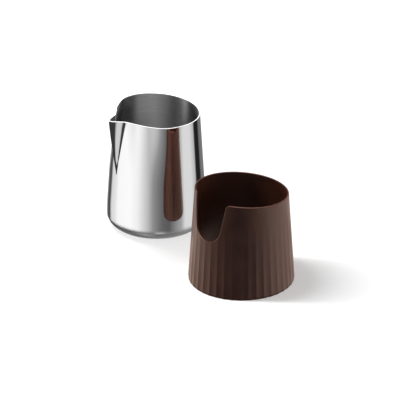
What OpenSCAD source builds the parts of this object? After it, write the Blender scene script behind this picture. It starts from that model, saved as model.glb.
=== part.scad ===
// Steel pouring jug for molten wax, with a slip-on sleeve that stands beside it. The sleeve's
// shallow flutes lie within its wall and are left plain here.
// The origin is the centre of the jug's base. The spout points along -X.

/* [Jug] */
// Largest radius of the jug, just above its lower corner
jug_r = 45; // [38:0.5:60]
// Radius at the rim, measured where the rim plane meets the jug's axis
jug_rim_r = 39.4; // [34:0.2:42]
// Height of the rim plane on the jug's axis
jug_h = 111; // [95:0.2:140]
// Thickness of the steel sheet
sheet_t = 1; // [0.8:0.1:1.4]
// Radius of the rounded lower corner
corner_r = 9; // [6:0.5:11]
// Height at which the straight cone begins
cone_z = 26; // [22:1:32]
// Slant of the rim, which rises towards the spout, in degrees
rim_slant = 4.5; // [0:0.1:8]

/* [Spout] */
// Reach of the pouring lip from the jug's axis
spout_reach = 50.4; // [46:0.2:56]
// Height of the lowest point of the pressed V
spout_foot_z = 58; // [45:1:75]
// Half width of the V where it meets the rim
spout_half_w = 9.5; // [7:0.5:13]
// Radius of the pressed edges of the spout, outside the sheet
press_r = 2.4; // [1.8:0.1:3.2]

/* [Sleeve] */
// Height of the sleeve's rim plane on its axis
sleeve_h = 87.8; // [70:0.2:96]
// Gap between the jug and the sleeve's bore when the sleeve is slipped on
slip_gap = 0.2; // [0.1:0.05:0.8]
// Wall at the rim
wall_top = 1.4; // [1.2:0.1:2.4]
// Wall at the foot, measured over the ridges of the flutes
wall_foot = 1.7; // [1.5:0.1:3]
// Slant of the sleeve's rim, which rises towards the notch, in degrees
sleeve_slant = 6; // [0:0.1:9]
// Chamfer along the foot's outer edge
foot_chamfer = 0.6; // [0.2:0.1:1]
// Distance from the jug's axis to the sleeve's axis, along X
sleeve_x = 5; // [-60:1:60]
// Distance from the jug's axis to the sleeve's axis, along Y
sleeve_y = -137; // [-260:1:-110]
// Turn of the sleeve's notch away from the direction of the spout, in degrees
sleeve_turn = 11.5; // [0:0.5:360]

/* [Notch] */
// Radius of the notch's rounded bottom
notch_r = 14.5; // [10:0.5:18]
// Height of the centre of that round
notch_z = 66; // [50:0.5:72]
// Angle by which each side of the notch leans outwards
notch_flare = 9.9; // [2:0.1:18]
// Radius of the convex corners where the notch meets the rim
notch_corner_r = 4; // [2:0.5:6]

/* [Hidden] */
facets = 96;
corner_steps = 10;
bend_steps = 4;
notch_steps = 16;
rim_steps = 6;
far = 200; // longer than either piece
// Slope of the jug's cone, and the radius of that cone at any height
bend_drop = 0.45; // what the radius loses between the corner and the cone
cone_slope = (jug_r - bend_drop - jug_rim_r) / (jug_h - cone_z);
function cone_r(z) = jug_rim_r + cone_slope * (jug_h - z);
// Radii of the sleeve's bore and outside, which both follow the jug's cone
function bore_r(z) = cone_r(z) + slip_gap;
function sleeve_r(z) = bore_r(z) + wall_foot + (wall_top - wall_foot) * z / sleeve_h;
// Radius of the bulge between the corner's end and the start of the cone
function bend_r(u) = jug_r - bend_drop * pow(u, 1.8);

// Right half of the jug's outline, moved inwards by the sheet when inset is above zero
function corner_points(inset) = [
    for (i = [0:corner_steps])
        let (a = 90 * i / corner_steps)
        [jug_r - corner_r + (corner_r - inset) * sin(a), corner_r - (corner_r - inset) * cos(a)]
];
function bend_points(inset) = [
    for (i = [1:bend_steps])
        let (u = i / bend_steps)
        [bend_r(u) - inset, corner_r + (cone_z - corner_r) * u]
];

module jug_solid(inset) {
    top_z = jug_h + 20;
    outline = concat(
        [[0, inset]],
        corner_points(inset),
        bend_points(inset),
        [[cone_r(top_z) - inset, top_z], [0, top_z]]
    );
    rotate_extrude($fn = facets) polygon(outline);
}

// Pressed V spout as a solid. Balls at its corners shrink by the sheet to give the hollow.
module spout_solid(inset) {
    lip_z = jug_h + spout_reach * tan(rim_slant);
    over = 6; // runs on past the rim, where the slant cut ends it
    rise = (lip_z + over - spout_foot_z) / (lip_z - spout_foot_z);
    foot_x = cone_r(spout_foot_z) - press_r;
    tip_x = foot_x + (spout_reach - press_r - foot_x) * rise;
    side_x = foot_x + (cone_r(lip_z) - press_r - foot_x) * rise;
    hull() {
        ball(-foot_x, 0, spout_foot_z, inset);
        ball(-tip_x, 0, lip_z + over, inset);
        for (side = [-1, 1]) ball(-side_x, side * (spout_half_w - press_r) * rise, lip_z + over, inset);
    }
}

module ball(x, y, z, inset) {
    translate([x, y, z]) sphere(r = press_r - inset, $fn = 32);
}

// Everything above a plane that crosses the axis at height h and rises towards -X
module above_rim(h, slant) {
    translate([0, 0, h]) rotate([0, slant, 0]) translate([-far, -far, 0]) cube([2 * far, 2 * far, far]);
}

module jug() {
    color("#c9cbcd") difference() {
        union() {
            jug_solid(0);
            spout_solid(0);
        }
        jug_solid(sheet_t);
        spout_solid(sheet_t);
        above_rim(jug_h, rim_slant);
    }
}

module sleeve_wall() {
    top_z = sleeve_h + 10;
    outline = [
        [bore_r(0), 0],
        [sleeve_r(0) - foot_chamfer, 0],
        [sleeve_r(foot_chamfer), foot_chamfer],
        [sleeve_r(top_z), top_z],
        [bore_r(top_z), top_z]
    ];
    rotate_extrude($fn = facets) polygon(outline);
}

// Points along an arc about a centre, from one angle to another
function arc(centre, r, from, to, steps) = [
    for (i = [0:steps])
        let (a = from + (to - from) * i / steps)
        centre + r * [cos(a), sin(a)]
];

// Outline of the notch, seen along the way it points: a round bottom, leaning sides that stay
// tangent to it, and convex corners at the rim
module notch_outline() {
    side_x = notch_r * cos(notch_flare);
    side_z = notch_z - notch_r * sin(notch_flare);
    rim_z = sleeve_h + cone_r(sleeve_h) * tan(sleeve_slant);
    corner_z = rim_z - notch_corner_r;
    corner_x = side_x + (corner_z - side_z) * tan(notch_flare) + notch_corner_r / cos(notch_flare);
    top_z = rim_z + 20;
    polygon(concat(
        arc([0, notch_z], notch_r, -180 + notch_flare, -notch_flare, notch_steps),
        arc([corner_x, corner_z], notch_corner_r, 180 - notch_flare, 90, rim_steps),
        [[corner_x, top_z], [-corner_x, top_z]],
        arc([-corner_x, corner_z], notch_corner_r, 90, notch_flare, rim_steps)
    ));
}

module notch() {
    start = 20;
    translate([-start, 0, 0]) rotate([90, 0, -90]) linear_extrude(height = 60) notch_outline();
}

module sleeve() {
    color("#3f2a24") translate([sleeve_x, sleeve_y, 0]) rotate([0, 0, sleeve_turn]) difference() {
        sleeve_wall();
        above_rim(sleeve_h, sleeve_slant);
        notch();
    }
}

jug();
sleeve();
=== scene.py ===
import math

import bpy
import numpy as np
from mathutils import Matrix, Vector


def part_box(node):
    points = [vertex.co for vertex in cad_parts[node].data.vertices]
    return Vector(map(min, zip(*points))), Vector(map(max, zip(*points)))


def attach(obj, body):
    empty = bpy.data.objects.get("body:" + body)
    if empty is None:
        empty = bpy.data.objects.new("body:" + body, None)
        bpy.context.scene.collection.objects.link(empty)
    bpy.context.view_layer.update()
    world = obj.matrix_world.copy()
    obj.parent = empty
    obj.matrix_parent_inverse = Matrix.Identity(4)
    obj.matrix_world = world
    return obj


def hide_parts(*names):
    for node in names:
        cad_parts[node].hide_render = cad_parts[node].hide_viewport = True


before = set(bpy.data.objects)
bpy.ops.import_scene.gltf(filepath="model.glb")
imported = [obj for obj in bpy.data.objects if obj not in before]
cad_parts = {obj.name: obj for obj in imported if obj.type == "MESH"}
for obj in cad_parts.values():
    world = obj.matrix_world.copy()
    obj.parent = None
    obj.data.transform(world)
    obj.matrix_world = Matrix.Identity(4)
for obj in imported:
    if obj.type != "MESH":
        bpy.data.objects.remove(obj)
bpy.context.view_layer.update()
print("frame loaded")

mm = 0.001
jugLow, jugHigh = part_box("jug")
sleeveLow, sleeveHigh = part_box("sleeve")


def linear(hexCode):
    # sRGB hex to linear RGBA
    srgb = [int(hexCode[i:i + 2], 16) / 255 for i in (1, 3, 5)]
    return [c / 12.92 if c <= 0.04045 else ((c + 0.055) / 1.055) ** 2.4 for c in srgb] + [1.0]


def smooth(x):
    # 0 below 0, 1 above 1, level at both ends
    x = np.clip(x, 0, 1)
    return x * x * (3 - 2 * x)


def ramp(x, start, end):
    # smooth() stretched to run from start to end
    return smooth((x - start) / (end - start))


view = dict(
    azimuth=-32.0,      # degrees, 0 looks along +Y
    elevation=26.54,    # degrees above the floor
    roll=-0.12,         # degrees
    distance=12.0,      # metres, a long lens
    sensor=36.0,        # mm
    lensWidths=32.93,   # focal length over sensor width
    clipEnd=60.0,       # metres
    aim=(55.5, 14.25),  # mm from the jug's axis, on the floor
)


def makeCamera(v):
    # Stands back from the aim point along the azimuth and elevation, and looks at it
    a, e = math.radians(v["azimuth"]), math.radians(v["elevation"])
    back = Vector((math.sin(a) * math.cos(e), -math.cos(a) * math.cos(e), math.sin(e)))
    data = bpy.data.cameras.new("camera")
    data.sensor_width = v["sensor"]
    data.lens = v["sensor"] * v["lensWidths"]
    data.clip_end = v["clipEnd"]
    camera = bpy.data.objects.new("camera", data)
    bpy.context.scene.collection.objects.link(camera)
    aim = Vector((v["aim"][0] * mm, v["aim"][1] * mm, 0))
    roll = Matrix.Rotation(math.radians(-v["roll"]), 3, "Z").to_quaternion()
    camera.rotation_mode = "QUATERNION"
    camera.rotation_quaternion = (-back).to_track_quat("-Z", "Y") @ roll
    camera.location = aim + back * v["distance"]
    bpy.context.scene.camera = camera


makeCamera(view)
facing = math.radians(view["azimuth"])
towardCamera = Vector((math.sin(facing), -math.cos(facing), 0))
towardRight = Vector((math.cos(facing), math.sin(facing), 0))
print("camera made")


def newMaterial(name):
    # An empty node material
    material = bpy.data.materials.new(name)
    material.use_nodes = True
    material.node_tree.nodes.clear()
    return material


def addNode(tree, kind, settings=None, links=None):
    # settings: attributes by name, or sockets by name or number; links: input to (node, output)
    node = tree.nodes.new(kind)
    for key, value in (settings or {}).items():
        if isinstance(key, str) and hasattr(node, key):
            setattr(node, key, value)
        else:
            node.inputs[key].default_value = value
    for key, (source, output) in (links or {}).items():
        tree.links.new(source.outputs[output], node.inputs[key])
    return node


def mapRange(tree, value, source, target):
    # Linear from the two source values to the two target values
    return addNode(tree, "ShaderNodeMapRange", {"From Min": source[0], "From Max": source[1],
                                                "To Min": target[0], "To Max": target[1]}, {"Value": value})


def setRamp(node, stops):
    # stops: (place, RGBA) in rising order
    elements = node.color_ramp.elements
    while len(elements) < len(stops):
        elements.new(1.0)
    for element, (place, colour) in zip(elements, stops):
        element.position = place
        element.color = colour


noiseSpan = (0.3, 0.7)          # where most values of a noise texture lie
polished = dict(
    colour="#dcdcdc",
    roughness=(0.045, 0.085),   # of buffed and of handled patches
    patch=14,                   # mm, size of those patches
    patchSpan=(0.35, 0.7),      # noise values that count as buffed and as handled
    lineSpacing=0.5,            # mm, buffing lines, drawn coarser than the real ones
    lineWaves=30,               # per metre, so a line changes every 33 mm on its way round
    lineDepth=0.0012,           # mm
    bump=0.12,
    dullFoot=0.26,              # extra roughness of the rounded corner, which rubs on tables
    dullHeights=(12, 8.5),      # mm, where that begins and where it is full
)
# the lip: rougher for real, and painted lighter than the wall as a painted highlight along the rim
linishedWithPaintedHighlight = dict(polished, colour="#ebebeb", roughness=(0.20, 0.28), patch=6, lineSpacing=0.3,
                lineDepth=0.002, dullFoot=0.0)


def polishedSteel(name, p):
    # Stainless steel buffed to a mirror: clean reflections, faint lines that run round the wall,
    # slightly duller patches where it is held, and a duller foot. The cut edge has only a linishing
    # finish, so it is rougher and catches light from all sides; its material is also painted lighter
    # than the wall, a painted highlight along the rim.
    material = newMaterial(name)
    tree = material.node_tree
    place = addNode(tree, "ShaderNodeTexCoord")
    patches = addNode(tree, "ShaderNodeTexNoise", {"Scale": 1000 / p["patch"], "Detail": 3.0},
                      {"Vector": (place, "Object")})
    handled = mapRange(tree, (patches, "Fac"), p["patchSpan"], p["roughness"])
    split = addNode(tree, "ShaderNodeSeparateXYZ", None, {"Vector": (place, "Object")})
    dullHeights = [height * mm for height in p["dullHeights"]]
    low = mapRange(tree, (split, "Z"), dullHeights, (0.0, p["dullFoot"]))
    rough = addNode(tree, "ShaderNodeMath", {"operation": "ADD"},
                    {0: (handled, "Result"), 1: (low, "Result")})
    scale = (p["lineWaves"], p["lineWaves"], 1000 / p["lineSpacing"])
    across = addNode(tree, "ShaderNodeMapping", {"Scale": scale}, {"Vector": (place, "Object")})
    lines = addNode(tree, "ShaderNodeTexNoise", {"Scale": 1.0, "Detail": 2.0},
                    {"Vector": (across, "Vector")})
    bump = addNode(tree, "ShaderNodeBump", {"Strength": p["bump"], "Distance": p["lineDepth"] * mm},
                   {"Height": (lines, "Fac")})
    shader = addNode(tree, "ShaderNodeBsdfPrincipled",
                     {"Base Color": linear(p["colour"]), "Metallic": 1.0},
                     {"Roughness": (rough, "Value"), "Normal": (bump, "Normal")})
    addNode(tree, "ShaderNodeOutputMaterial", None, {"Surface": (shader, "BSDF")})
    return material


brushed = dict(
    colours=("#a9a9aa", "#c8c8c9"),  # valleys and crests of the brushing, the valleys painted darker as painted shade in the grooves
    roughness=(0.40, 0.33),          # of the same
    grooveSpacing=0.45,              # mm, drawn coarser than the real 0.1 so that it shows
    grooveLength=30,                 # mm round the wall
    grooveDepth=0.004,               # mm
    bump=0.5,
    turn=0.25,                       # a quarter turn, so that light spreads across the grooves
)


def brushedSteel(p):
    # Stainless steel brushed around the inside: soft upright streaks of light across fine
    # level grooves, whose valleys are painted darker than their crests as painted shade.
    material = newMaterial("brushedStainlessSteel")
    tree = material.node_tree
    place = addNode(tree, "ShaderNodeTexCoord")
    scale = (1000 / p["grooveLength"], 1000 / p["grooveLength"], 1000 / p["grooveSpacing"])
    stretch = addNode(tree, "ShaderNodeMapping", {"Scale": scale}, {"Vector": (place, "Object")})
    grooves = addNode(tree, "ShaderNodeTexNoise", {"Scale": 1.0, "Detail": 4.0, "Roughness": 0.65},
                      {"Vector": (stretch, "Vector")})
    # painted shade: the groove noise colours the valleys darker and the crests lighter
    tint = addNode(tree, "ShaderNodeValToRGB", None, {"Fac": (grooves, "Fac")})
    setRamp(tint, [(at, linear(colour)) for at, colour in zip(noiseSpan, p["colours"])])
    rough = mapRange(tree, (grooves, "Fac"), noiseSpan, p["roughness"])
    bump = addNode(tree, "ShaderNodeBump", {"Strength": p["bump"], "Distance": p["grooveDepth"] * mm},
                   {"Height": (grooves, "Fac")})
    around = addNode(tree, "ShaderNodeTangent", {"direction_type": "UV_MAP", "uv_map": "wrap"})
    shader = addNode(tree, "ShaderNodeBsdfPrincipled",
                     {"Metallic": 1.0, "Anisotropic": 1.0, "Anisotropic Rotation": p["turn"]},
                     {"Base Color": (tint, "Color"), "Roughness": (rough, "Result"),
                      "Normal": (bump, "Normal"), "Tangent": (around, "Tangent")})
    addNode(tree, "ShaderNodeOutputMaterial", None, {"Surface": (shader, "BSDF")})
    return material


moulded = dict(
    colours=("#34170e", "#3d1f14"),  # the pigment is slightly uneven
    cloudWaves=45,                   # per metre, so clouds of about 22 mm
    roughness=(0.40, 0.50),
    grain=0.55,                      # mm, spark-eroded mould grain, drawn coarser than the real 0.2
    grainDepth=0.012,                # mm
    bump=0.35,
)


def mouldedPlastic(p):
    # Satin chocolate polypropylene from a fine-grained mould: dark body colour under a soft
    # neutral sheen that grows towards the edges.
    material = newMaterial("mouldedPolypropylene")
    tree = material.node_tree
    place = addNode(tree, "ShaderNodeTexCoord")
    cloud = addNode(tree, "ShaderNodeTexNoise", {"Scale": p["cloudWaves"], "Detail": 3.0},
                    {"Vector": (place, "Object")})
    tint = addNode(tree, "ShaderNodeValToRGB", None, {"Fac": (cloud, "Fac")})
    setRamp(tint, [(at, linear(colour)) for at, colour in zip(noiseSpan, p["colours"])])
    grain = addNode(tree, "ShaderNodeTexNoise", {"Scale": 1000 / p["grain"], "Detail": 2.0},
                    {"Vector": (place, "Object")})
    rough = mapRange(tree, (cloud, "Fac"), noiseSpan, p["roughness"])
    bump = addNode(tree, "ShaderNodeBump", {"Strength": p["bump"], "Distance": p["grainDepth"] * mm},
                   {"Height": (grain, "Fac")})
    shader = addNode(tree, "ShaderNodeBsdfPrincipled", {"IOR": 1.49, "Specular IOR Level": 0.35},
                     {"Base Color": (tint, "Color"), "Roughness": (rough, "Result"),
                      "Normal": (bump, "Normal")})
    addNode(tree, "ShaderNodeOutputMaterial", None, {"Surface": (shader, "BSDF")})
    return material


def cornersOf(grid):
    # The four corners of each cell of a grid, in order round the cell
    return np.stack([grid[:-1, :-1], grid[:-1, 1:], grid[1:, 1:], grid[1:, :-1]], axis=2)


def meshFromGrid(name, points, closeRows=False, poles=(), uvs=None, materials=(), materialRows=(0,)):
    # points: rows x columns x 3, where the columns go once round and close. The rows close too
    # (a ring), or end in two poles (a shell). Each material starts at its own row.
    rows, columns = points.shape[:2]
    index = np.arange(rows * columns).reshape(rows, columns)
    index = np.concatenate([index, index[:, :1]], axis=1)
    if closeRows:
        index = np.concatenate([index, index[:1]], axis=0)
    loops = cornersOf(index).reshape(-1)
    totals = np.full(len(loops) // 4, 4)
    vertices = points.reshape(-1, 3)
    faceRow = np.repeat(np.arange(len(index) - 1), columns)
    if poles:
        first, last = len(vertices), len(vertices) + 1
        vertices = np.concatenate([vertices, np.array(poles)])
        start = np.stack([np.full(columns, first), index[0, 1:], index[0, :-1]], axis=-1)
        end = np.stack([np.full(columns, last), index[-1, :-1], index[-1, 1:]], axis=-1)
        loops = np.concatenate([loops, start.reshape(-1), end.reshape(-1)])
        totals = np.concatenate([totals, np.full(2 * columns, 3)])
        faceRow = np.concatenate([faceRow, np.zeros(columns, int), np.full(columns, rows - 1)])
    starts = np.concatenate([[0], np.cumsum(totals)[:-1]])
    mesh = bpy.data.meshes.new(name)
    mesh.vertices.add(len(vertices))
    mesh.vertices.foreach_set("co", vertices.reshape(-1))
    mesh.loops.add(len(loops))
    mesh.loops.foreach_set("vertex_index", loops)
    mesh.polygons.add(len(totals))
    mesh.polygons.foreach_set("loop_start", starts)
    mesh.polygons.foreach_set("loop_total", totals)
    mesh.update(calc_edges=True)
    mesh.polygons.foreach_set("use_smooth", np.ones(len(totals), bool))
    for material in materials:
        mesh.materials.append(material)
    mesh.polygons.foreach_set("material_index", np.searchsorted(materialRows, faceRow, side="right") - 1)
    if uvs is not None:  # one more column than the points, so that the last face doesn't run back
        layer = mesh.uv_layers.new(name="wrap")
        corners = cornersOf(uvs).reshape(-1, 2)
        flat = np.zeros((len(loops), 2))
        flat[:len(corners)] = corners
        layer.data.foreach_set("uv", flat.reshape(-1))
    piece = bpy.data.objects.new(name, mesh)
    bpy.context.scene.collection.objects.link(piece)
    mesh.validate()
    return piece


jugShape = dict(
    radius=jugHigh[0],              # widest, just above the lower corner
    rimRadius=39.4 * mm,            # where the rim plane meets the axis
    height=111.0 * mm,              # of the rim plane, on the axis
    rimRise=math.tan(math.radians(4.5)),
    corner=9.0 * mm,
    cornerSquareness=1.7,           # 2 is a quarter round, lower is nearer to a bevel
    coneStart=26.0 * mm,
    bendDrop=0.45 * mm,
    sheet=1.0 * mm,
    lipSquareness=3.5,              # 2 is a half round, higher is a flatter cut
    lipFlatness=3,                  # thickness of the sheet over the height of the lip's rounding
    beyondLip=1.1,                  # the wedge is worked out up to here, where 1 is the lip
    lipReach=-jugLow[0],            # how far the spout's tip stands from the axis
    lipDip=(1.2 * mm, 0.5 * mm),    # the pressed rim sinks beside the spout and at its tip
    footHeight=57.5 * mm,           # lowest point of the pressed V
    footWidth=1.0 * mm,             # half width of the V at its lowest point
    halfWidth=10.4 * mm,            # and at the rim
    tipRound=5.0 * mm,              # rounding of the ridge at the lip
    footRound=0.12,                 # share of that rounding at the foot of the V
    leastWidth=1.7,                 # of the V, in roundings of the ridge
    ridgeBow=0.25,                  # 0 is a straight ridge, 1 a quarter wave that ends upright
    crease=0.08,                    # softness of the V's edges, as a share of its width
    flatten=2.3 * mm,               # how far the wall beside the spout is drawn in
    flattenFrom=(11, 31),           # degrees from the spout, where that begins and is full
    flattenTo=(48, 76),             # degrees from the spout, where it fades and is over
    flattenHeights=(50 * mm, 112 * mm),  # between which it grows
    dipAngles=(50, 105),            # degrees from the spout, where the rim's dip fades and is over
    tipDipAngle=8,                  # degrees, width of the tip's own dip
    baseRecess=0.5 * mm,
    recessEdge=(31.5 * mm, 33.5 * mm),   # radii between which the recess ends
    columns=420,
    crowding=0.8,                   # columns stand (1 + this) / (1 - this) times denser at the spout
    recessRows=(2 * mm, 31 * mm, 9),     # from, to, and number of rows
    ringRows=(31.6 * mm, 0.5 * mm, 7),   # from, how far short of the corner, and number of rows
    wallRows=104,
    turnRows=13,                    # along the lower corner, and over the lip
)


def coneRadius(z, s=jugShape):
    # Straight line from the top of the bend to the rim, and its slope
    slope = (s["radius"] - s["bendDrop"] - s["rimRadius"]) / (s["height"] - s["coneStart"])
    return s["rimRadius"] + slope * (s["height"] - z), slope


def jugWall(turn, z, lipHeight, s=jugShape):
    # Outside of the wall at an angle from the spout and a height: a cone that bends upright
    # above the corner, drawn in on both sides of the spout, and pushed out along the spout's
    # direction by a wedge whose width and reach grow from the foot of the V to the lip.
    radius, slope = coneRadius(z)
    run = s["coneStart"] - s["corner"]
    bend = (np.clip(z - s["corner"], 0, run) / run) ** (slope * run / s["bendDrop"])
    radius = np.where(z < s["coneStart"], s["radius"] - s["bendDrop"] * bend, radius)
    side = np.degrees(np.abs(turn))
    beside = ramp(side, *s["flattenFrom"]) * (1 - ramp(side, *s["flattenTo"]))
    radius = radius - s["flatten"] * beside * ramp(z, *s["flattenHeights"])
    x, y = radius * np.cos(turn), radius * np.sin(turn)
    up = np.clip((z - s["footHeight"]) / (lipHeight - s["footHeight"]), 0, s["beyondLip"])
    width = np.hypot(s["halfWidth"] * up, s["footWidth"])
    tipRound = s["tipRound"] * (s["footRound"] + (1 - s["footRound"]) * up)
    width = np.maximum(width, s["leastWidth"] * tipRound)
    lipCone = coneRadius(lipHeight)[0]
    reach = (s["lipReach"] - lipCone) / (1 - tipRound / width)
    wave = np.sin(np.clip(up, 0, 1) * math.pi / 2)
    reach = reach * ((1 - s["ridgeBow"]) * up + s["ridgeBow"] * wave)
    wedge = (1 - np.hypot(y, tipRound) / width) / s["crease"]
    wedge = s["crease"] * np.logaddexp(0, wedge)
    wedge = np.where(np.cos(turn) > 0, wedge, 0)
    return np.stack([-(x + reach * wedge), -y, z], axis=-1)


def jugPoints(s=jugShape):
    # Rows run from the middle of the base, out, up the wall and over the lip, and the same way
    # back on the inside, which is the outside moved in by the sheet along its own normals.
    even = np.linspace(-math.pi, math.pi, s["columns"], endpoint=False)
    turn = even - s["crowding"] * np.sin(even)
    lipHeight = s["height"] + s["lipReach"] * s["rimRise"] - sum(s["lipDip"])
    rimHeight = np.full_like(turn, s["height"])
    for _ in range(3):                  # the rim's height and its distance settle together
        reachX = -jugWall(turn, rimHeight, lipHeight)[:, 0]
        side = np.degrees(np.abs(turn))
        dip = s["lipDip"][0] * (1 - ramp(side, *s["dipAngles"]))
        dip = dip + s["lipDip"][1] * np.exp(-(side / s["tipDipAngle"]) ** 2)
        rimHeight = s["height"] + s["rimRise"] * reachX - dip
    flat = s["radius"] - s["corner"]
    ringStart, ringShort, ringRows = s["ringRows"]
    base = np.concatenate([np.linspace(*s["recessRows"]),
                           np.linspace(ringStart, flat - ringShort, ringRows)])
    baseZ = s["baseRecess"] * (1 - ramp(base, *s["recessEdge"]))
    angle = np.linspace(0, math.pi / 2, s["turnRows"])[:-1]
    bow = 2 / s["cornerSquareness"]
    cornerR = flat + s["corner"] * np.sin(angle) ** bow
    cornerZ = s["corner"] * (1 - np.cos(angle) ** bow)
    around = np.stack([-np.cos(turn), -np.sin(turn)], axis=-1)
    lowR, lowZ = np.concatenate([base, cornerR]), np.concatenate([baseZ, cornerZ])
    low = np.concatenate([lowR[:, None, None] * around[None],
                          np.broadcast_to(lowZ[:, None, None], (len(lowR), len(turn), 1))], axis=-1)
    share = np.linspace(0, 1, s["wallRows"])[:, None]
    z = s["corner"] + (rimHeight[None] - s["corner"]) * share
    wall = jugWall(np.broadcast_to(turn, z.shape), z, lipHeight)
    outside = np.concatenate([low, wall])
    along = np.gradient(outside, axis=0)
    beyond = np.concatenate([outside[:, -1:], outside, outside[:, :1]], axis=1)
    across = beyond[:, 2:] - beyond[:, :-2]
    normal = np.cross(across, along)
    normal /= np.linalg.norm(normal, axis=-1, keepdims=True)
    inside = outside - s["sheet"] * normal
    tangent = outside[-1] - outside[-2]
    tangent /= np.linalg.norm(tangent, axis=-1, keepdims=True)
    middle, half = (outside[-1] + inside[-1]) / 2, (outside[-1] - inside[-1]) / 2
    angles = np.linspace(0, math.pi, s["turnRows"])[1:-1, None, None]
    square = 2 / s["lipSquareness"]
    lip = (middle + half * np.sign(np.cos(angles)) * np.abs(np.cos(angles)) ** square
           + tangent * np.sin(angles) ** square * s["sheet"] / s["lipFlatness"])
    points = np.concatenate([outside, lip, inside[::-1]])
    materialRows = (0, len(outside) - 1, len(outside) + len(lip))
    poles = [(0, 0, s["baseRecess"]), (0, 0, s["baseRecess"] + s["sheet"])]
    path = np.concatenate([[0], np.cumsum(np.linalg.norm(np.diff(points[:, 0], axis=0), axis=-1))])
    u = np.linspace(0, 2 * math.pi * s["radius"], s["columns"] + 1)
    uvs = np.stack(np.broadcast_arrays(u[None], path[:, None]), axis=-1)
    return points, poles, uvs, materialRows


points, poles, uvs, materialRows = jugPoints()
# the lip's material is painted lighter than the wall, a painted highlight along the rim
steels = (polishedSteel("polishedStainlessSteel", polished), polishedSteel("linishedSteelEdgeWithPaintedHighlight", linishedWithPaintedHighlight),
          brushedSteel(brushed))    # outside, lip and inside
jug = meshFromGrid("pouringJug", points, poles=poles, uvs=uvs, materials=steels, materialRows=materialRows)
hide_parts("jug")
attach(jug, "jug")
print("jug made", len(jug.data.polygons))


sleeveShape = dict(
    centre=((sleeveLow[0] + sleeveHigh[0]) / 2, (sleeveLow[1] + sleeveHigh[1]) / 2),
    turn=11.5,                    # degrees from the spout's direction to the notch's
    height=87.8 * mm,             # of the rim plane, on the axis
    rimRise=math.tan(math.radians(6.0)),
    gap=0.2 * mm,                 # between the jug and the bore
    wall=(1.7 * mm, 1.4 * mm),    # at the foot and at the rim
    notchRadius=14.5 * mm,
    notchCentre=66.0 * mm,
    notchFlare=9.9,               # degrees
    cornerRound=4.0 * mm,         # of the notch's corners at the rim
    notchReach=26.0 * mm,         # how far from its middle the notch's line is worked out
    lineSteps=6001,
    flutes=40,
    fluteDepth=0.5 * mm,
    fluteTop=74.0 * mm,
    fluteFade=0.9,                # 1 is even from the foot up, lower stays deep for longer
    fluteFoot=(-3 * mm, 5 * mm),  # the flutes are shallower again towards the foot
    edge=0.8 * mm,                # rounding along the rim and the notch
    edgeSquareness=2.7,           # 2 is a half round, higher is a flatter edge
    foot=1.8 * mm,                # height of the rounding of the foot's outer edge
    footDraw=0.6,                 # its depth over its height
    boreFoot=(0.3 * mm, 0.25 * mm),   # height and depth of the bevel at the foot of the bore
    fanStart=24.0 * mm,           # below it the columns run straight up
    nearNotch=4,                  # flutes on each side of the notch with finer columns
    columns=(26, 12),             # in each of those flutes, and in each of the others
    rows=(64, 34),                # outside and inside
    edgeRows=13,
    footRows=6,
)


def sleeveOutside(turn, z, s=sleeveShape):
    # The jug's cone plus gap and wall, hollowed between sharp ridges by shallow scallops that
    # run out towards the rim. A ridge stands under the middle of the notch.
    wall = s["wall"][0] + (s["wall"][1] - s["wall"][0]) * z / s["height"]
    pitch = 2 * math.pi / s["flutes"]
    across = 2 * np.mod(turn / pitch, 1) - 1
    fade = np.clip(1 - z / s["fluteTop"], 0, 1) ** s["fluteFade"]
    depth = s["fluteDepth"] * fade * ramp(z, *s["fluteFoot"])
    return coneRadius(z)[0] + s["gap"] + wall - depth * (1 - across ** 2)


def sleeveInside(z, s=sleeveShape):
    # The jug's cone plus the gap
    return coneRadius(z)[0] + s["gap"]


def rimLine(s=sleeveShape):
    # Rim and notch as one line over the distance x from the notch's middle: a round bottom,
    # leaning sides that touch it, rounded corners, and the slanted rim. Given as x, z and the
    # length of the line up to there, and the radius at which the line lies.
    x = np.linspace(-s["notchReach"], s["notchReach"], s["lineSteps"])
    radius = sleeveInside(s["height"]) + s["wall"][1] / 2
    flare = math.radians(s["notchFlare"])
    sideX = s["notchRadius"] * math.cos(flare)
    sideZ = s["notchCentre"] - s["notchRadius"] * math.sin(flare)
    corner = s["cornerRound"]
    cornerX = sideX + corner
    for _ in range(4):    # the corner's centre lies one radius below the rim and beside the side
        cornerZ = s["height"] + s["rimRise"] * math.sqrt(radius ** 2 - cornerX ** 2) - corner
        cornerX = sideX + (cornerZ - sideZ) * math.tan(flare) + corner / math.cos(flare)
    away = np.abs(x)
    bottom = s["notchCentre"] - np.sqrt(np.clip(s["notchRadius"] ** 2 - x ** 2, 0, None))
    sides = sideZ + (away - sideX) / math.tan(flare)
    corners = cornerZ + np.sqrt(np.clip(corner ** 2 - (away - cornerX) ** 2, 0, None))
    rim = s["height"] + s["rimRise"] * np.sqrt(radius ** 2 - x ** 2)
    z = np.select([away < sideX, away < cornerX - corner * math.cos(flare), away < cornerX],
                  [bottom, sides, corners], rim)
    length = np.concatenate([[0], np.cumsum(np.hypot(np.diff(x), np.diff(z)))])
    return x, z, length, radius


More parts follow.
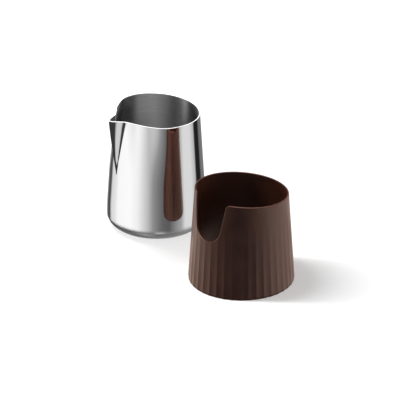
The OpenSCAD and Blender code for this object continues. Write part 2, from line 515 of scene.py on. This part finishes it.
def sleevePoints(s=sleeveShape):
    # Columns fan out from the foot to even steps along the rim and notch. Rows run up the
    # outside, over a rounded edge, down the bore and back across the foot, and close.
    pitch = 360 / s["flutes"]
    half, nearAngle = s["flutes"] // 2, s["nearNotch"] * pitch
    start = np.concatenate([pitch * (k + np.arange(n) / n) for k in range(-half, half)
                            for n in [s["columns"][0 if -s["nearNotch"] <= k < s["nearNotch"] else 1]]])
    x, z, length, radius = rimLine()
    near = np.abs(start) <= nearAngle
    share = (start / nearAngle + 1) / 2
    edgeTurn = math.degrees(math.asin(x[-1] / radius))
    along = np.clip(share, 0, 1) * length[-1]
    far = edgeTurn + (np.abs(start) - nearAngle) * (180 - edgeTurn) / (180 - nearAngle)
    rimTurn = np.where(near, np.degrees(np.arcsin(np.interp(along, length, x) / radius)),
                       np.sign(start) * far)
    rimZ = np.where(near, np.interp(along, length, z),
                    s["height"] + s["rimRise"] * radius * np.cos(np.radians(rimTurn)))
    slopeX, slopeZ = np.gradient(x, length), np.gradient(z, length)
    outX = np.where(near, -np.interp(along, length, slopeZ), 0)
    outZ = np.where(near, np.interp(along, length, slopeX), 1)

    startR, rimR = np.radians(start), np.radians(rimTurn)
    stopTurn, stopZ = rimR - s["edge"] * outX / radius, rimZ - s["edge"] * outZ

    def sheetAt(zFrom, rows):
        # turn and height of the wall's grid from zFrom up to where the edge's rounding begins
        v = np.linspace(0, 1, rows)[:, None]
        height = zFrom + (stopZ[None] - zFrom) * v
        bend = ramp(height, s["fanStart"], stopZ[None])
        return startR[None] + (stopTurn - startR)[None] * bend, height

    outTurn, outZs = sheetAt(s["foot"], s["rows"][0])
    inTurn, inZs = sheetAt(s["boreFoot"][0], s["rows"][1])
    outR, inR = sleeveOutside(outTurn, outZs), np.broadcast_to(sleeveInside(inZs), inZs.shape)

    angles = np.linspace(0, math.pi, s["edgeRows"])[1:-1, None]
    square = 2 / s["edgeSquareness"]
    side = np.sign(np.cos(angles)) * np.abs(np.cos(angles)) ** square
    over = s["edge"] * np.abs(np.sin(angles)) ** square
    edgeTurns, edgeZs = stopTurn + over * outX / radius, stopZ + over * outZ
    outer, inner = sleeveOutside(edgeTurns, edgeZs), sleeveInside(edgeZs)
    edgeR = (outer + inner) / 2 + side * (outer - inner) / 2

    ease = np.linspace(0, math.pi / 2, s["footRows"])[:-1, None]
    lowOuter = sleeveOutside(startR, s["foot"])[None]
    cornerR = lowOuter - s["footDraw"] * s["foot"] * (1 - np.sin(ease))
    cornerZ = s["foot"] * (1 - np.cos(ease)) + 0 * cornerR
    bevel = sleeveInside(0.0) + s["boreFoot"][1] + 0 * lowOuter
    footR = np.concatenate([bevel, (bevel + cornerR[:1]) / 2])
    turns = np.concatenate([outTurn, edgeTurns, inTurn[::-1], np.broadcast_to(startR, footR.shape),
                            np.broadcast_to(startR, cornerR.shape)])
    radii = np.concatenate([outR, edgeR, inR[::-1], footR, cornerR])
    heights = np.concatenate([outZs, edgeZs, inZs[::-1], 0 * footR, cornerZ])
    heading = math.pi + math.radians(s["turn"]) + turns
    return np.stack([s["centre"][0] + radii * np.cos(heading),
                     s["centre"][1] + radii * np.sin(heading), heights], axis=-1)


plastic = mouldedPlastic(moulded)
sleeve = meshFromGrid("slipOnSleeve", sleevePoints(), closeRows=True, materials=(plastic,))
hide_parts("sleeve")
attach(sleeve, "sleeve")
print("sleeve made", len(sleeve.data.polygons))


room = dict(
    floorColour="#f4f4f4",
    floorSize=5.0,                      # metres from the middle to a side
    floorGrain=900.0,                   # per metre, the card's fine grain
    floorBump=0.02,
    floorDepth=0.1 * mm,
    sky=0.26,                           # even light from all round
    aim=Vector((0.03, -0.07, 0.03)),    # metres, where every light points
)
# power in watts, where it stands (right, toward the camera, up), distance and size in metres
lights = dict(
    keyLight=dict(power=54.0, side=(-0.50, -0.04, 0.86), distance=2.6, size=(0.26, 1.7),
                  blockers=[sleeve]),            # a tall strip on the left, which only the sleeve shades
    backLight=dict(power=26.0, side=(-0.40, -0.45, 0.85), distance=2.2, size=(0.9, 0.9),
                   blockers=[jug]),              # wide, behind, for the soft shadow under the jug
    fillLight=dict(power=6.0, side=(0.85, -0.30, 0.45), distance=1.4, size=(0.8, 0.8),
                   receivers=[jug, sleeve]),     # from the right, for the pieces only
)


def onlyFor(thing, camera=False, diffuse=False, glossy=False, shadow=False):
    # Hides a thing from every kind of ray that isn't named
    thing.visible_camera = camera
    thing.visible_diffuse = diffuse
    thing.visible_glossy = glossy
    thing.visible_transmission = glossy
    thing.visible_shadow = shadow
    thing.visible_volume_scatter = False


def groupOf(name, pieces):
    # A collection for light linking
    group = bpy.data.collections.new(name)
    for piece in pieces:
        group.objects.link(piece)
    return group


def makeFloor(r):
    # A square of white card, which the pieces don't mirror
    material = newMaterial("whiteFloor")
    tree = material.node_tree
    place = addNode(tree, "ShaderNodeTexCoord")
    grain = addNode(tree, "ShaderNodeTexNoise", {"Scale": r["floorGrain"]},
                    {"Vector": (place, "Object")})
    bump = addNode(tree, "ShaderNodeBump", {"Strength": r["floorBump"], "Distance": r["floorDepth"]},
                   {"Height": (grain, "Fac")})
    shader = addNode(tree, "ShaderNodeBsdfDiffuse", {"Color": linear(r["floorColour"])},
                     {"Normal": (bump, "Normal")})
    addNode(tree, "ShaderNodeOutputMaterial", None, {"Surface": (shader, "BSDF")})
    mesh = bpy.data.meshes.new("floor")
    size = r["floorSize"]
    corners = [(-size, -size, 0), (size, -size, 0), (size, size, 0), (-size, size, 0)]
    mesh.from_pydata(corners, [], [(0, 1, 2, 3)])
    mesh.materials.append(material)
    floor = bpy.data.objects.new("floor", mesh)
    bpy.context.scene.collection.objects.link(floor)
    onlyFor(floor, camera=True, diffuse=True, shadow=True)


# What each piece mirrors: a radius in metres, and bands from below to above, each from one height
# to another in degrees, with brightness by the angle from the camera towards the right
ballGrid = dict(columns=181, rows=61, opening=0.005)    # the small holes at the poles are never seen
jugStudio = dict(
    radius=2.5,
    tint="#ffffff",
    bands=[
        (-90, -45, [(-180, 0.30), (-110, 0.15), (-72, 0.15), (-58, 0.30), (-43, 0.65), (-24, 0.40),
                    (-5, 0.17), (13, 0.10), (36, 0.22), (46, 0.22), (62, 0.14), (102, 0.38),
                    (140, 0.30), (180, 0.30)]),
        (-41, -28.2, [(-180, 0.05), (-6, 0.05), (0, 0.85), (16, 0.85), (24, 0.2), (60, 0.4),
                      (90, 0.6), (110, 0.4), (116, 0.05), (180, 0.05)]),
        (-27, 6, [(-180, 0.50), (-160, 0.45), (-153, 0.10), (-137, 0.10), (-129, 0.90), (-112, 1.05),
                  (-100, 1.30), (-64, 1.35), (-44, 1.2), (-20, 0.70), (-8, 0.38), (4, 0.25),
                  (14, 0.17), (30, 0.14), (60, 0.5), (70, 0.95), (92, 0.95), (108, 0.62),
                  (112, 0.02), (131, 0.02), (136, 0.2), (160, 0.24), (180, 0.34)]),
        (16, 54, [(-180, 2.5), (-150, 2.5), (-135, 0.1), (-92, 0.1), (-86, 3.2), (-77, 3.2),
                  (-70, 0.2), (-60, 0.05), (-44, 0.12), (-32, 0.3), (-21, 0.6), (0, 0.95),
                  (11, 1.1), (21, 1.5), (36, 1.8), (50, 1.8), (58, 1.2), (70, 0.15), (100, 0.08),
                  (135, 0.1), (150, 2.5), (180, 2.5)]),
        (68, 90, [(-180, 2.0), (180, 2.0)]),
    ],
)
sleeveStudio = dict(
    radius=2.6,
    tint="#ffe5d6",
    bands=[
        (-90, -30, [(-180, 0.0), (180, 0.0)]),
        (-25, 6, [(-180, 2.7), (-130, 2.7), (-104, 3.2), (-88, 2.6), (-76, 1.75), (-53, 0.8),
                  (-36, 0.12), (8, 0.0), (24, 0.3), (40, 1.4), (58, 2.6), (76, 3.2), (96, 3.0),
                  (132, 1.6), (180, 1.6)]),
        (16, 50, [(-180, 0.15), (180, 0.15)]),
        (56, 90, [(-180, 8.0), (180, 8.0)]),
    ],
)


def makeStudio(name, studio, receiver):
    # A glowing ball round the set that only one piece mirrors and that lets other rays through.
    # Its own map holds the angle from the camera across and the height up, both from 0 to 1.
    material = newMaterial(name)
    tree = material.node_tree
    place = addNode(tree, "ShaderNodeUVMap", {"uv_map": "wrap"})
    split = addNode(tree, "ShaderNodeSeparateXYZ", None, {"Vector": (place, "UV")})
    top = max(level for band in studio["bands"] for angle, level in band[2])
    tint = np.array(linear(studio["tint"])[:3])
    glow, reached = None, None
    for start, end, tones in studio["bands"]:
        tone = addNode(tree, "ShaderNodeValToRGB", None, {"Fac": (split, "X")})
        setRamp(tone, [((angle + 180) / 360, [*(tint * level / top), 1.0]) for angle, level in tones])
        if glow is None:
            glow = (tone, "Color")
        else:
            # a colour mix takes its factor at 0 and its colours at 6 and 7, and gives it at 2
            between = ((reached + 90) / 180, (start + 90) / 180)
            rise = mapRange(tree, (split, "Y"), between, (0, 1))
            glow = (addNode(tree, "ShaderNodeMix", {"data_type": "RGBA"},
                            {0: (rise, "Result"), 6: glow, 7: (tone, "Color")}), 2)
        reached = end
    light = addNode(tree, "ShaderNodeEmission", {"Strength": top}, {"Color": glow})
    clear = addNode(tree, "ShaderNodeBsdfTransparent")
    both = addNode(tree, "ShaderNodeAddShader", None, {0: (light, "Emission"), 1: (clear, "BSDF")})
    addNode(tree, "ShaderNodeOutputMaterial", None, {"Surface": (both, "Shader")})
    u = np.linspace(0, 1, ballGrid["columns"])
    v = np.linspace(ballGrid["opening"], 1 - ballGrid["opening"], ballGrid["rows"])
    angle = np.radians(u[:-1] * 360 - 180)
    tilt = np.radians(v * 180 - 90)[:, None, None]
    ring = np.cos(angle)[:, None] * np.array(towardCamera) + np.sin(angle)[:, None] * np.array(towardRight)
    points = studio["radius"] * (np.cos(tilt) * ring[None] + np.sin(tilt) * np.array([0, 0, 1.0]))
    uvs = np.stack(np.broadcast_arrays(u[None], v[:, None]), axis=-1)
    ball = meshFromGrid(name, points, uvs=uvs, materials=(material,))
    onlyFor(ball, glossy=True)
    ball.light_linking.receiver_collection = groupOf(name + "Sees", [receiver])


def makeLight(name, light, aim):
    # A rectangle that faces the aim point from its side and distance, seen only as light
    data = bpy.data.lights.new(name, "AREA")
    data.energy = light["power"]
    data.shape = "RECTANGLE"
    data.size, data.size_y = light["size"]
    lamp = bpy.data.objects.new(name, data)
    right, near, up = light["side"]
    way = towardRight * right + towardCamera * near + Vector((0, 0, up))
    way.normalize()
    lamp.location = aim + way * light["distance"]
    lamp.rotation_euler = way.to_track_quat("Z", "Y").to_euler()
    lamp.visible_glossy = False
    if "receivers" in light:
        lamp.light_linking.receiver_collection = groupOf(name + "Lights", light["receivers"])
    if "blockers" in light:
        lamp.light_linking.blocker_collection = groupOf(name + "Blocked", light["blockers"])
    bpy.context.scene.collection.objects.link(lamp)


makeFloor(room)
makeStudio("jugStudio", jugStudio, jug)
makeStudio("sleeveStudio", sleeveStudio, sleeve)
for name, light in lights.items():
    makeLight(name, light, room["aim"])
world = bpy.data.worlds.new("studio")
world.use_nodes = True
world.node_tree.nodes["Background"].inputs["Color"].default_value = (1, 1, 1, 1)
world.node_tree.nodes["Background"].inputs["Strength"].default_value = room["sky"]
world.cycles_visibility.glossy = False
bpy.context.scene.world = world
bpy.context.scene.view_settings.view_transform = "Standard"
print("room lit")
